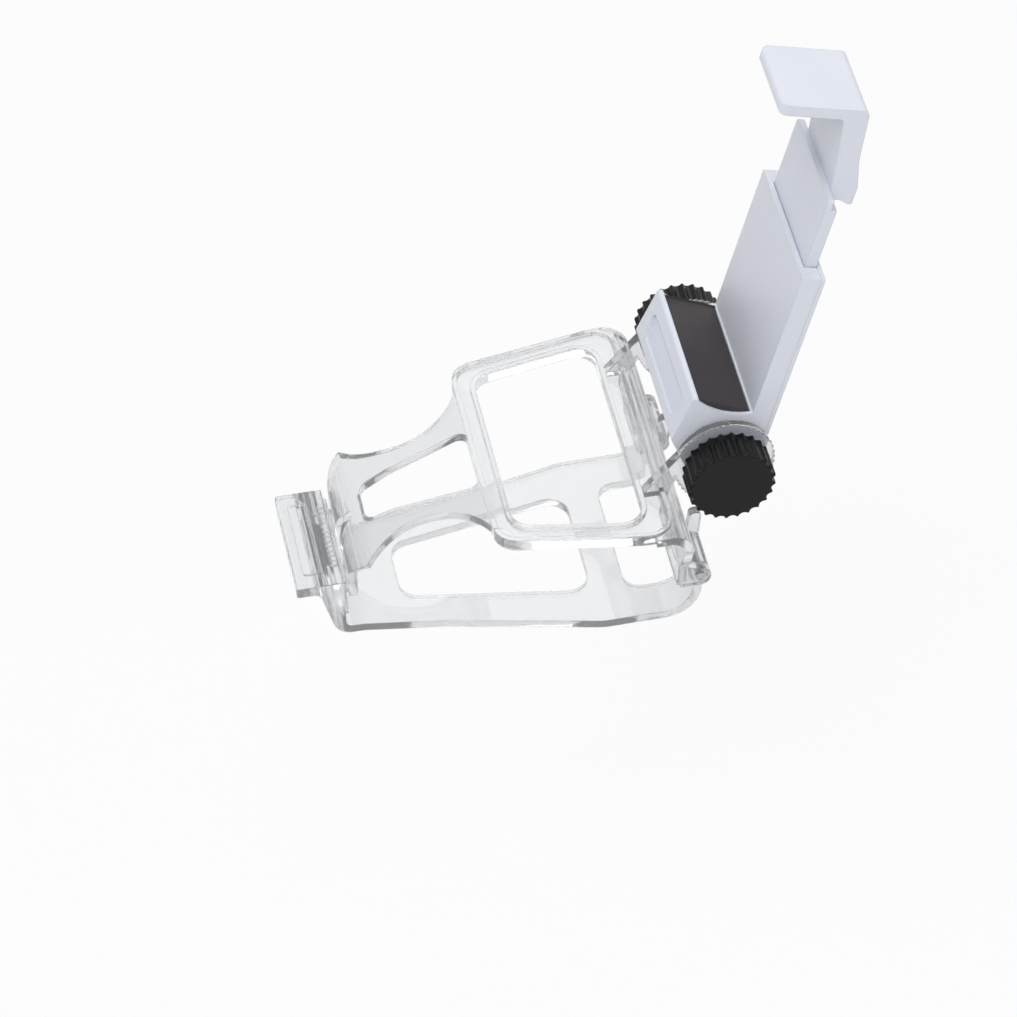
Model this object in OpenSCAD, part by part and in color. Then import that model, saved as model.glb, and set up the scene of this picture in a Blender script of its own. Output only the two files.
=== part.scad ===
// Phone clip for a game controller.
// A clear frame lies round the touchpad, a hinged clear cradle closes under the controller,
// and a tilting holder with a sliding top jaw carries the phone between two knurled knobs.
// Origin: on the underside of the frame's front bar, between the window and the tongue's slot.
// +X is the player's right, +Y points away from the player, +Z is up from the touchpad.

/* [Touchpad frame] */
// Thickness of the clear frame plate
frame_t = 2.2; // [1.6:0.1:3]
// Front edge of the touchpad window behind the origin
bar_rear = 3.75; // [3:0.25:5]
// Rear edge of the tongue's slot ahead of the origin
bar_front = 1; // [0.5:0.25:3.5]
// Window width at its front edge
window_front_w = 50.4; // [46:0.2:56]
// Window width at its rear edge
window_rear_w = 61.6; // [57:0.2:66]
// Window size from front to rear
window_depth = 29.8; // [24:0.2:34]
// Corner radius of the window
window_r = 5; // [2:0.5:8]
// Band beside the window at the front
side_band_front = 4.4; // [3.5:0.1:6]
// Band beside the window at the rear
side_band_rear = 5.6; // [4.5:0.1:8]
// Band ahead of the window at the front corners
front_band = 5; // [4:0.1:7]
// Band behind the window
rear_band = 6.2; // [5.5:0.1:8]
// Width of the raised rims along both edges of the band
rim_w = 1.2; // [0.8:0.1:1.6]
// Height of the raised rims
rim_h = 0.9; // [0.4:0.1:1.4]

/* [Tongue between the sticks] */
// Distance between the centres of the two round cut-outs
cut_spacing = 58; // [54:0.5:62]
// How far the round cut-outs' centres sit ahead of the origin
cut_ahead = 16.5; // [14:0.5:18]
// Diameter of the round cut-outs
cut_d = 33; // [29:0.2:34]
// Thickness of the tongue
tongue_t = 2.2; // [1.8:0.1:2.6]
// Drop of the tongue from the frame to its middle bend
bend_drop = 6.4; // [5:0.2:7.4]
// Reach of the tongue's middle bend ahead of the origin
bend_reach = 21; // [18:0.5:22]
// Drop of the tongue from the frame to the corner of its front lip
tongue_drop = 12.4; // [11:0.2:13]
// Reach of the tongue ahead of the origin, to the middle of its front lip
tongue_reach = 32.6; // [32:0.2:34]
// Bend radius of the front lip
lip_r = 8; // [6:0.5:8]
// Width across the two front lobes
lobe_w = 39; // [36:0.5:41]
// How much narrower each lobe is at its lower end
lobe_taper = 7; // [5:0.5:8]
// Lowest point of the lobes below the seat
lobe_low = 17.5; // [17:0.5:19]
// Width of the notch between the lobes
notch_w = 5; // [3:0.25:7]
// Top of the notch below the seat
notch_top = 11.2; // [10:0.2:12.4]
// Slot width at its rear edge
slot_rear_w = 18.8; // [14:0.2:19]
// Slot width at its front edge
slot_front_w = 11; // [8:0.2:12]
// Slot size from front to rear
slot_depth = 26.5; // [22:0.5:26.5]

/* [Latch] */
// Width of each latch leg
leg_w = 8; // [5:0.5:10]
// Distance between the two latch legs' centres
leg_spacing = 19; // [15:0.5:22]
// Bottom of the latch legs below the seat
leg_low = 23.6; // [21:0.2:26]
// Height of the catch teeth out of their wall
tooth_h = 0.9; // [0.6:0.1:1.2]
// Distance from one catch tooth to the next
tooth_pitch = 1.6; // [1.4:0.1:2]
// Number of teeth in the cradle's rack
tooth_count = 6; // [4:1:7]

/* [Hinge] */
// Hinge axis behind the origin
hinge_y = 46.4; // [44:0.2:50]
// Hinge axis below the seat
hinge_below = 18.4; // [15:0.2:22]
// Diameter of the hinge pins
pin_d = 2; // [1.5:0.1:2.4]
// Outer diameter of the knuckles
knuckle_d = 5.2; // [4.6:0.1:5.6]
// Inner end of each hinge, from the middle
hinge_inner = 15; // [12:0.5:17]
// Length of each hinge, from ear to ear
hinge_len = 15; // [12:0.5:18]
// Thickness of each ear
ear_t = 2.2; // [1.6:0.1:3]
// Height of the finger tab above the hinge axis
ear_tab = 8; // [5:0.5:10]

/* [Cradle] */
// Thickness of the cradle's sheet
cradle_t = 2.2; // [1.6:0.1:2.8]
// Clear height between the frame's seat and the cradle's floor
bay_h = 31.2; // [27:0.2:36]
// Width of the cradle's floor at the rear
cradle_rear_w = 54; // [48:0.5:60]
// Width of the thumb flange and the front wall below it
flange_w = 31.5; // [30:0.5:36]
// Thickness of the thumb flange
flange_t = 2.8; // [2.2:0.1:3.4]
// Reach of the thumb flange ahead of the front wall's inner face
flange_reach = 11.2; // [9:0.2:13]
// Underside of the thumb flange below the seat
flange_below = 19.4; // [18.4:0.2:20]
// Thickness of the front wall under the flange
wall_top_t = 5.8; // [4.4:0.2:6.4]
// Thickness of the front wall at the floor
wall_low_t = 2; // [1.6:0.2:3]
// Width of the panel outlined on the flange
panel_w = 23.6; // [18:0.2:26]
// Depth of the panel outlined on the flange
panel_depth = 4.4; // [3:0.2:5]
// Depth of the floor's window
floor_window = 44; // [30:1:48]
// Width of the side rails beside the floor's window
rail_w = 8; // [7:0.5:10]

/* [Arms] */
// Thickness of the arms and their round ends
arm_t = 2.5; // [2:0.1:3]
// Tilt axis behind the origin
tilt_y = 53.9; // [52:0.2:58]
// Tilt axis above the seat
tilt_z = 8.9; // [7:0.2:12]
// Diameter of the round ends
disc_d = 23; // [21:0.2:25]
// Number of small teeth round each round end
disc_teeth = 48; // [24:4:72]

/* [Knobs and bolt] */
// Diameter of the tilt bolt
bolt_d = 4; // [3:0.5:5]
// Outer diameter of the knobs
knob_d = 20.6; // [18:0.2:22]
// Length of the knobs
knob_len = 7.4; // [6:0.2:10]
// Number of flutes round each knob
flute_count = 24; // [16:1:32]
// Radius of one flute
flute_r = 1.2; // [0.8:0.1:1.3]
// Depth of the flutes
flute_depth = 0.7; // [0.4:0.1:0.9]
// Size of the nut across its flats
nut_af = 7; // [6:0.5:8]
// Thickness of the nut
nut_t = 3.2; // [2.4:0.1:3.6]
// Thickness of the washer
washer_t = 0.8; // [0.5:0.1:1.2]
// Outer diameter of the washer
washer_d = 9; // [8.6:0.2:10]

/* [Holder] */
// Backward lean of the holder in the stored pose
lean = 15.6; // [0:0.2:30]
// Width of the holder and its sleeve
holder_w = 38; // [34:0.5:42]
// Front face of the sleeve behind the tilt axis
sleeve_front = 3.6; // [2.5:0.1:4.5]
// Depth of the sleeve from front to back, with its cover
sleeve_depth = 5.6; // [5.4:0.1:8]
// Wall in front of the slider
sleeve_wall = 1.4; // [1:0.1:1.6]
// Thickness of the back cover
cover_t = 1; // [0.8:0.1:1.2]
// Top of the sleeve above the tilt axis
sleeve_top = 54.1; // [50:0.5:60]
// Side walls of the sleeve
side_wall = 3.4; // [3:0.1:4.4]
// Height of the jaw's lip above the tilt axis
lip_z = 16.6; // [14:0.2:20]
// Reach of the jaw's lip ahead of the tilt axis
lip_reach = 11.6; // [10:0.2:14]
// Radius of the hollow that the phone's edge sits in
hollow_r = 16.6; // [14:0.2:22]
// Radius of the holder's underside about the tilt axis
belly_r = 8.6; // [7:0.2:9.5]
// Width of the boss that carries the bolt, inside the holder
boss_w = 9; // [6:0.5:12]
// Wall at each end of the holder's hollows
end_wall = 2.6; // [2:0.1:4]
// Thickness of the rubber pads
pad_t = 1.2; // [0.8:0.1:1.8]
// Margin between the lower pad and the ends of the holder
pad_margin = 0.8; // [0.6:0.1:2]

/* [Slider and top jaw] */
// Top of the slider above the tilt axis
slider_top = 73.3; // [70:0.1:78]
// Length of the slider
slider_len = 43; // [38:0.5:48]
// Travel of the jaw above the stored pose
travel_up = 12; // [6:0.5:14]
// Rise of the top jaw's underside above the slider
jaw_rise = 19.9; // [16:0.1:24]
// Reach of the jaw's foot below the top of the slider
foot_drop = 4.1; // [3.6:0.1:5]
// Front skin of the slider ahead of the foot's seat
seat_skin = 1.5; // [1.2:0.1:1.8]
// Thickness of the top jaw's plate
jaw_t = 2.8; // [2.2:0.1:3.6]
// Width of the top jaw and its leg
jaw_w = 21.2; // [16:0.2:26]
// Reach of the top jaw ahead of the sleeve's front face
jaw_reach = 15.2; // [12:0.2:18]
// Thickness of the jaw's leg
leg_t = 5.4; // [4.5:0.1:6.4]
// Thickness of the leaf spring
spring_t = 0.3; // [0.2:0.05:0.5]

/* [Screws] */
// Shank diameter of the small screws
screw_d = 1.6; // [1.2:0.1:2]
// Head diameter of the small screws
screw_head_d = 3; // [2.4:0.1:3.2]
// Skin of the sleeve left ahead of the cover screws' holes
cover_screw_skin = 1; // [0.8:0.1:1.6]

/* [Fits] */
// Radial gap of a shaft that turns in a bore
run_fit = 0.05; // [0.03:0.01:0.1]
// Gap between faces that slide past each other
slide_gap = 0.2; // [0.15:0.05:0.4]
// Gap between the holder and the arms
side_gap = 0.4; // [0.3:0.1:0.6]
// Gap between the catch teeth and the wall across from them
tooth_gap = 0.4; // [0.3:0.05:0.5]

/* [Hidden] */

round_fn = 64;
small_fn = 32;
wide_fn = 96;
over = 1;
far = 60;
sink = 0.2;
straight_half = 89.9;

clear_tint = [0.90, 0.93, 0.95, 0.45];
shell_tint = [0.80, 0.82, 0.87];
black_tint = [0.09, 0.09, 0.09];
rubber_tint = [0.22, 0.20, 0.20];
steel_tint = [0.72, 0.73, 0.75];
brass_tint = [0.78, 0.62, 0.32];

window_y0 = bar_rear;
window_y1 = window_y0 + window_depth;
plate_y0 = window_y0 - front_band;
plate_y1 = window_y1 + rear_band;
plate_front_w = window_front_w + 2 * side_band_front;
plate_rear_w = window_rear_w + 2 * side_band_rear;
plate_r = window_r + 1;
slot_y1 = -bar_front;
slot_y0 = slot_y1 - slot_depth;
slot_r = 2.4;
tongue_start_r = 10;
tongue_bend_r = 20;
lobe_r = 5;
lobe_tip_r = 3;
hinge_z = -hinge_below;
lip_y = -tongue_reach;
lip_front = lip_y - tongue_t / 2;
wall_in = lip_front - tooth_h - tooth_gap;
flange_tip = wall_in - flange_reach;
floor_low = -bay_h - cradle_t;
pawl_rise = 1.8;
pawl_z = -leg_low + pawl_rise;
tooth_half = 0.5;
knuckle_gap = 0.7;
strap_in = hinge_y - knuckle_d / 2 - knuckle_gap - tongue_t;
strap_low = hinge_z - 2.2;
strap_top_r = 5.5;
strap_waist = -10;
strap_waist_r = 12;
apron_low = -9.2;
strap_shoulder = -14;
relief_w = 7;
relief_h = 2.2;
relief_x = hinge_inner + hinge_len / 2 + 1;
relief_top = -13.2;
knuckle_in = hinge_inner + ear_t + slide_gap;
knuckle_out = hinge_inner + hinge_len - ear_t - slide_gap;
neck_low_angle = 190;
neck_high_angle = 135;
disc_tooth_h = 0.35;
disc_tooth_w = 0.6;
floor_r = 8;
floor_front_r = 4.5;
floor_flare = 3;
floor_flare_y = -12;
floor_rear_y = 24;
floor_bar = 8;
floor_notch_y = hinge_y - 15;
knuckle_cut_y = hinge_y - 7;
rack_margin = 1.4;
panel_margin = 2.4;
panel_line = 0.5;
panel_line_h = 0.6;
rib_pitch = 1.6;
rib_w = 0.8;
rib_len = 1.5;
rib_rows = 6;
arm_in = holder_w / 2 + side_gap;
arm_out = arm_in + arm_t;
knob_in = arm_out + slide_gap;
knob_out = knob_in + knob_len;
bolt_half = knob_in + washer_t + nut_t + 1;
knob_chamfer = 0.4;
knob_rim = 0.3;
cavity_front = sleeve_front + sleeve_wall;
cover_front = sleeve_front + sleeve_depth - cover_t;
sleeve_back = sleeve_front + sleeve_depth;
slider_t = cover_front - cavity_front - 2 * slide_gap;
slider_y = cavity_front + slide_gap;
slider_bottom = slider_top - slider_len;
foot_low = slider_top - foot_drop;
seat_y = slider_y + seat_skin;
foot_lap = 1.4;
seat_z = foot_low + foot_lap;
travel_down = seat_z - sleeve_top - slide_gap;
jaw_under = slider_top + jaw_rise;
mouth_h = 3;
shoulder_reach = 0.8;
cavity_w = holder_w - 2 * side_wall;
shoulder_w = cavity_w - 2 * slide_gap;
slider_w = shoulder_w - 2 * shoulder_reach;
shoulder_top = sleeve_top - mouth_h - travel_up - slide_gap;
cavity_bottom = slider_bottom - travel_down - slide_gap;
front_low = [-lip_reach - 2, 3.9];
hollow_rear = 13.4;
hollow_y = -0.6;
pad_front = -lip_reach + 1.2;
pad_rear = sleeve_front - 0.3;
hollow_z = hollow_rear + sqrt(hollow_r * hollow_r - pow(sleeve_front - hollow_y, 2));
foot_rear = 3.6;
foot_back = sleeve_back + foot_rear;
cover_low = -4;
screw_x = (cavity_w + holder_w) / 4;
screw_len = sleeve_depth - cover_t - cover_screw_skin;
screw_z = [cover_low + 6, sleeve_top * 0.45, sleeve_top - 4];
head_t = 0.5;
pad_sink = 0.4;
panel_sink = 0.8;
panel_side = 3.4;
panel_low_side = 5.6;
panel_top = 3.6;
panel_low = 2.4;
panel_r = 1.4;
pocket_reach = 4.6;
pocket_low = 3.4;
pocket_h = 10.6;
screw_skin = 0.4;
jaw_screw_z = (seat_z + slider_top) / 2;
jaw_top = jaw_under + jaw_t;
jaw_front = sleeve_front - jaw_reach;
jaw_pad_side = 1.6;
jaw_pad_front = 1.8;
jaw_pad_rear = 2.2;
spring_w = 6;
spring_len = 16;
spring_z = slider_bottom + 13;
spring_pocket = 1.3;
spring_play = 0.05;

function unit(v) = v / norm(v);
function flat(p) = [p[0], p[1]];

// Points of the round corner at b, tangent to the lines towards a and c, or b itself on a straight run
function corner(a, b, c, r, n = 6) =
    let (u = unit(flat(a) - flat(b)), v = unit(flat(c) - flat(b)),
        half = acos(max(-1, min(1, u * v))) / 2,
        centre = flat(b) + r / sin(half) * unit(u + v),
        p0 = flat(b) + r / tan(half) * u - centre,
        p1 = flat(b) + r / tan(half) * v - centre,
        a0 = atan2(p0[1], p0[0]),
        turn = (atan2(p1[1], p1[0]) - a0 + 540) % 360 - 180)
    half > straight_half ? [flat(b)] :
        [for (i = [0 : n]) centre + r * [cos(a0 + turn * i / n), sin(a0 + turn * i / n)]];

// Outline through points [x, y, corner radius]
function rounded(p) =
    let (n = len(p))
    [for (i = [0 : n - 1])
        each p[i][2] > 0 ? corner(p[(i + n - 1) % n], p[i], p[(i + 1) % n], p[i][2]) : [flat(p[i])]];

// One side of a path of points [x, y, bend radius], moved out by d with its bends kept true
function side(p, d) =
    let (n = len(p))
    [for (i = [0 : n - 1])
        let (before = unit(flat(p[max(i, 1)]) - flat(p[max(i, 1) - 1])),
            after = unit(flat(p[min(i, n - 2) + 1]) - flat(p[min(i, n - 2)])),
            mid = unit([-before[1] - after[1], before[0] + after[0]]),
            stretch = mid * [-before[1], before[0]],
            left = before[0] * after[1] - before[1] * after[0] > 0 ? 1 : -1,
            q = flat(p[i]) + mid * d / stretch)
        [q[0], q[1], p[i][2] > 0 ? max(0.2, p[i][2] - left * d) : 0]];

function reversed(p) = [for (i = [len(p) - 1 : -1 : 0]) p[i]];

// Outline of a bent sheet of thickness t along a path
function band(p, t) = rounded(concat(side(p, t / 2), reversed(side(p, -t / 2))));

// Toothed circle of n teeth between two radii
function toothed(n, r0, r1) =
    [for (i = [0 : 2 * n - 1]) (i % 2 == 0 ? r1 : r0) * [cos(180 * i / n), sin(180 * i / n)]];

// Four-sided outline, symmetric about the Y axis, with a radius at every corner
function tapered(front_w, rear_w, y0, y1, r) =
    [[-front_w / 2, y0, r], [front_w / 2, y0, r], [rear_w / 2, y1, r], [-rear_w / 2, y1, r]];

// A (y, z) outline made solid from x0 to x1
module along_x(x0, x1) {
    translate([x0, 0, 0]) rotate([90, 0, 90]) linear_extrude(x1 - x0) children();
}

// An (x, z) outline made solid from y0 to y1
module along_y(y0, y1) {
    translate([0, y1, 0]) rotate([90, 0, 0]) linear_extrude(y1 - y0) children();
}

module rod(d, x0, x1) {
    translate([x0, 0, 0]) rotate([0, 90, 0]) cylinder(d = d, h = x1 - x0, $fn = round_fn);
}

module both_sides() {
    children();
    mirror([1, 0, 0]) children();
}

module in_holder() {
    translate([0, tilt_y, tilt_z]) rotate([-lean, 0, 0]) children();
}

module at_hinge() {
    translate([0, hinge_y, hinge_z]) children();
}

module at_tilt() {
    translate([0, tilt_y, tilt_z]) children();
}

// Band round the window with a raised rim along its outer and inner edges
module frame_band() {
    outer = tapered(plate_front_w, plate_rear_w, plate_y0, plate_y1, plate_r);
    window = tapered(window_front_w, window_rear_w, window_y0, window_y1, window_r);
    linear_extrude(frame_t) difference() {
        polygon(rounded(outer));
        polygon(rounded(window));
    }
    rim_ring(outer, -rim_w);
    rim_ring(window, rim_w);
}

// Rim of width rim_w on the plate, grown inwards or outwards from an outline
module rim_ring(outline, grow) {
    other = [for (p = outline)
        [p[0] + sign(p[0]) * grow, p[1] + (p[1] > window_y0 + over ? grow : -grow), p[2] + grow]];
    linear_extrude(frame_t + rim_h) difference() {
        polygon(rounded(grow > 0 ? other : outline));
        polygon(rounded(grow > 0 ? outline : other));
    }
}

// Sheet that runs forward between the sticks and curls down over the controller's front
module tongue() {
    path = [[window_y0 - rim_w, frame_t / 2, 0], [window_y0 - rim_w - 2, frame_t / 2, tongue_start_r],
        [-bend_reach, frame_t / 2 - bend_drop, tongue_bend_r], [lip_y, frame_t / 2 - tongue_drop, lip_r],
        [lip_y, -lobe_low - over, 0]];
    side_x = lobe_w / 2;
    notch_x = notch_w / 2;
    lobe_z = -notch_top + 2.2;
    front = [[-side_x, far, 0], [-side_x, lobe_z, lobe_r], [-side_x + lobe_taper, -lobe_low, lobe_tip_r],
        [-notch_x - 1, -lobe_low, slot_r], [-1, -notch_top, 0.8], [1, -notch_top, 0.8],
        [notch_x + 1, -lobe_low, slot_r], [side_x - lobe_taper, -lobe_low, lobe_tip_r],
        [side_x, lobe_z, lobe_r], [side_x, far, 0]];
    slot = tapered(slot_front_w, slot_rear_w, slot_y0, slot_y1, slot_r);
    difference() {
        intersection() {
            along_x(-far, far) polygon(band(path, tongue_t));
            union() {
                along_y(lip_front - over, slot_y0) polygon(rounded(front));
                along_y(slot_y0, window_y0) square([plate_front_w - 2 * plate_r, far], center = true);
            }
        }
        both_sides() translate([cut_spacing / 2, -cut_ahead, -far / 2])
            cylinder(d = cut_d, h = far, $fn = wide_fn);
        translate([0, 0, -far / 2]) linear_extrude(far) polygon(rounded(slot));
    }
}

// Leg below each lobe, with a pawl that catches under the cradle's teeth
module latch_leg() {
    x0 = (leg_spacing - leg_w) / 2;
    leg = [[lip_front, -lobe_low + 2, 0], [lip_front, -leg_low, 0.6], [lip_front + tongue_t, -leg_low, 0.6],
        [lip_front + tongue_t, -lobe_low + 2, 0]];
    pawl = [[lip_front + sink, pawl_z + 0.6], [lip_front - tooth_h, pawl_z + 0.3],
        [lip_front - tooth_h, pawl_z], [lip_front + sink, pawl_z - 0.8]];
    along_x(x0, x0 + leg_w) {
        polygon(rounded(leg));
        polygon(pawl);
    }
}

// Apron and straps that run over the controller's rear edge down to the hinge
module rear_sheet() {
    strap_y = strap_in + tongue_t / 2;
    strap = [[plate_y1 - rear_band + rim_w, frame_t / 2, 0], [strap_y + 0.6, frame_t / 2, strap_top_r],
        [strap_y + 0.8, strap_waist, strap_waist_r], [strap_y, strap_low - sink, 0]];
    half = plate_rear_w / 2;
    hinge_end = hinge_inner + hinge_len;
    outline = [[-half, far, 0], [-half, -2, 8], [-hinge_end, strap_shoulder, 6], [-hinge_end, strap_low, 1],
        [-hinge_inner + 1, strap_low, 1], [-hinge_inner + 1, apron_low, 3],
        [hinge_inner - 1, apron_low, 3], [hinge_inner - 1, strap_low, 1],
        [hinge_end, strap_low, 1], [hinge_end, strap_shoulder, 6], [half, -2, 8], [half, far, 0]];
    top = [[-half, window_y1, 0], [half, window_y1, 0], [half, plate_y1 - 2, 6], [half - 5, far, 0],
        [5 - half, far, 0], [-half, plate_y1 - 2, 6]];
    relief = tapered(relief_w, relief_w, relief_top - relief_h, relief_top, 1);
    difference() {
        intersection() {
            along_x(-far, far) polygon(band(strap, tongue_t));
            along_y(window_y1, far) polygon(rounded(outline));
            translate([0, 0, -far / 2]) linear_extrude(far) polygon(rounded(top));
        }
        both_sides() translate([relief_x, 0, 0]) along_y(window_y1, far) polygon(rounded(relief));
    }
}

// Ears of one hinge, the inner one drawn up into a finger tab
module hinge_ears() {
    r = knuckle_d / 2;
    root = strap_in + 0.6 - hinge_y;
    ear = [[root, -r, 0.8], [0, -r, 0], [0, r, 0], [root, r + 1.6, 0.8]];
    at_hinge() {
        for (x = [hinge_inner, hinge_inner + hinge_len - ear_t])
            difference() {
                along_x(x, x + ear_t) {
                    polygon(rounded(ear));
                    circle(d = knuckle_d, $fn = round_fn);
                }
                rod(pin_d, x - over, x + ear_t + over);
            }
        difference() {
            along_x(hinge_inner, hinge_inner + ear_t)
                polygon(rounded([[-0.6, 1, 0], [2.4, 0.4, 0], [3.2, ear_tab, 1.2], [0.4, ear_tab, 1.2]]));
            rod(pin_d, hinge_inner - over, hinge_inner + hinge_len);
        }
    }
}

// Arm from the rear band up to the round end that the knob clamps
module arm() {
    r = disc_d / 2;
    neck_in = r - arm_t / 4;
    neck = [[window_y1 + 0.2 - tilt_y, 0.4 - tilt_z, 0], [plate_y1 - 0.2 - tilt_y, 0.4 - tilt_z, 0],
        [r * cos(neck_low_angle), r * sin(neck_low_angle), 3], [0, 0, 0],
        [neck_in * cos(neck_high_angle), neck_in * sin(neck_high_angle), 0],
        [window_y1 + 1.4 - tilt_y, 3.6 - tilt_z, 3]];
    at_tilt() difference() {
        union() {
            along_x(arm_in, arm_out) {
                circle(r = r, $fn = wide_fn);
                polygon(rounded(neck));
            }
            along_x(arm_out - disc_tooth_w, arm_out) polygon(toothed(disc_teeth, r, r + disc_tooth_h));
        }
        rod(bolt_d + 2 * run_fit, arm_in - over, arm_out + over);
    }
}

module base_frame() {
    color(clear_tint) {
        frame_band();
        tongue();
        rear_sheet();
        both_sides() {
            latch_leg();
            hinge_ears();
            arm();
        }
    }
}

module hinge_pin() {
    color(steel_tint) at_hinge() rod(pin_d, hinge_inner + sink, hinge_inner + hinge_len - sink);
}

module hinge_pin_right() {
    hinge_pin();
}

module hinge_pin_left() {
    mirror([1, 0, 0]) hinge_pin();
}

// Sheet of the cradle: it hangs from the knuckles, runs under the controller and rises into a
// thicker front wall with a sloping outer face and a thumb flange
module cradle_sheet() {
    half_t = cradle_t / 2;
    profile = [[hinge_y + half_t, hinge_z - 1.4, 0], [hinge_y + half_t, floor_low, floor_r + half_t],
        [wall_in - wall_low_t, floor_low, floor_front_r], [wall_in - wall_top_t, -flange_below, 2],
        [flange_tip, -flange_below, 0.5], [flange_tip, flange_t - flange_below, 0.8],
        [wall_in, flange_t - flange_below, 0.6], [wall_in, -bay_h, 1.5],
        [hinge_y - half_t, -bay_h, floor_r - half_t], [hinge_y - half_t, hinge_z - 1.4, 0]];
    rear = cradle_rear_w / 2;
    front = flange_w / 2;
    outline = [[-front, flange_tip - over, 2], [front, flange_tip - over, 2], [front, wall_in + 4, 6],
        [front + floor_flare, floor_flare_y, 20], [rear, floor_rear_y, 12], [rear, far, 0],
        [-rear, far, 0], [-rear, floor_rear_y, 12], [-front - floor_flare, floor_flare_y, 20],
        [-front, wall_in + 4, 6]];
    window_end = floor_notch_y - floor_bar;
    window = tapered(flange_w - 2 * rail_w + 2, 2 * knuckle_in - 2, window_end - floor_window, window_end, 5);
    gap = tapered(2 * knuckle_in, 2 * knuckle_in, floor_notch_y, far, 4);
    difference() {
        intersection() {
            along_x(-far, far) polygon(rounded(profile));
            translate([0, 0, -far]) linear_extrude(2 * far) polygon(rounded(outline));
        }
        translate([0, 0, -far]) linear_extrude(2 * far) {
            polygon(rounded(window));
            polygon(rounded(gap));
        }
        both_sides() translate([knuckle_out, knuckle_cut_y, floor_low]) cube([far, far, far]);
    }
}

// Rack of catch teeth across the inner face of the front wall
module catch_rack() {
    for (i = [0 : tooth_count - 1]) {
        z = pawl_z + tooth_pitch * (2 - i) + (i > 1 ? -tooth_pitch : 0);
        along_x(rack_margin - flange_w / 2, flange_w / 2 - rack_margin)
            polygon([[wall_in - sink, z + tooth_half], [wall_in + tooth_h, z],
                [wall_in - sink, z - tooth_half]]);
    }
}

// Raised panel outline and fine ribs on top of the thumb flange
module flange_detail() {
    y0 = flange_tip + panel_margin;
    y1 = y0 + panel_depth;
    z0 = flange_t - flange_below - sink;
    inner_w = panel_w - 2 * panel_line;
    panel = tapered(panel_w, panel_w, y0, y1, 0.8);
    inner = tapered(inner_w, inner_w, y0 + panel_line, y1 - panel_line, 0.4);
    translate([0, 0, z0]) linear_extrude(panel_line_h) difference() {
        polygon(rounded(panel));
        polygon(rounded(inner));
    }
    for (i = [-rib_rows : rib_rows])
        translate([i * rib_pitch - rib_w / 2, wall_in - rib_len - 0.4, z0]) cube([rib_w, rib_len, 0.7]);
}

module cradle_knuckle() {
    at_hinge() rod(knuckle_d, knuckle_in, knuckle_out);
}

module bottom_cradle() {
    color(clear_tint) difference() {
        union() {
            cradle_sheet();
            catch_rack();
            flange_detail();
            both_sides() cradle_knuckle();
        }
        both_sides() at_hinge() rod(pin_d + 2 * run_fit, hinge_inner, hinge_inner + hinge_len);
    }
}

// Side section of the lower jaw and sleeve, up to the back cover
function holder_section() =
    let (start = atan2(front_low[1], front_low[0]) + acos(belly_r / norm(front_low)),
        end = 285,
        steps = 8)
    rounded(concat(
        [[pad_front, lip_z, 0.4], [-lip_reach, lip_z - 0.2, 0.6], [front_low[0], front_low[1], 1.4]],
        [for (i = [0 : steps])
            let (a = start + (end - start) * i / steps)
            [belly_r * cos(a), belly_r * sin(a), 0]],
        [[cover_front, cover_low - 1.6, 0], [cover_front, sleeve_top, 0], [sleeve_front, sleeve_top, 0],
        [sleeve_front, hollow_rear + pad_t, 0]]));

module holder_front() {
    color(shell_tint) in_holder() difference() {
        along_x(-holder_w / 2, holder_w / 2) polygon(holder_section());
        // Hollow for the phone's edge, and the seat of the rubber pad below it
        intersection() {
            hollow_cut(0, holder_w / 2 + over);
            along_x(-far, far) polygon([[pad_front, 0], [sleeve_front, 0], [sleeve_front, far / 2],
                [pad_front, far / 2]]);
        }
        intersection() {
            hollow_cut(pad_t, holder_w / 2 - pad_margin);
            along_x(-far, far) polygon([[pad_front, 0], [pad_rear, 0], [pad_rear, far / 2],
                [pad_front, far / 2]]);
        }
        // Channel of the slider, narrowed at its mouth
        translate([-cavity_w / 2, cavity_front, cavity_bottom])
            cube([cavity_w, far, sleeve_top - mouth_h - cavity_bottom]);
        translate([-slider_w / 2 - slide_gap, cavity_front, cavity_bottom])
            cube([slider_w + 2 * slide_gap, far, far + sleeve_top]);
        // Hollows either side of the bolt's boss, closed by the cover
        both_sides() translate([boss_w / 2, -pocket_reach, -pocket_low])
            cube([holder_w / 2 - boss_w / 2 - end_wall, far, pocket_h]);
        // Shallow panel in the front face
        front_panel();
        rod(bolt_d, -far, far);
        screw_holes();
    }
}

module hollow_cut(deeper, half) {
    translate([0, hollow_y, hollow_z]) rotate([0, 90, 0])
        cylinder(r = hollow_r + deeper, h = 2 * half, center = true, $fn = wide_fn);
}

// Recess of the front face, square to it
module front_panel() {
    top = [-lip_reach, lip_z - 0.2];
    length = norm(front_low - top);
    angle = atan2(front_low[0] - top[0], front_low[1] - top[1]);
    translate([0, top[0], top[1]]) rotate([-angle, 0, 0])
        along_y(-panel_sink, over) polygon(rounded(tapered(holder_w - 2 * panel_side,
            holder_w - 2 * panel_low_side, panel_top, length - panel_low, panel_r)));
}

module screw_holes() {
    for (z = screw_z) both_sides() translate([screw_x, cover_front - screw_len, z]) rotate([-90, 0, 0])
        cylinder(d = screw_d, h = far, $fn = small_fn);
}

module holder_back() {
    outline = tapered(holder_w, holder_w, cover_low, sleeve_top, 0.6);
    color(shell_tint) in_holder() difference() {
        along_y(cover_front, sleeve_back) polygon(rounded(outline));
        screw_holes();
        for (z = screw_z) both_sides() translate([screw_x, sleeve_back - head_t, z]) rotate([-90, 0, 0])
            cylinder(d = screw_head_d + 0.2, h = far, $fn = small_fn);
    }
}

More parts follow.
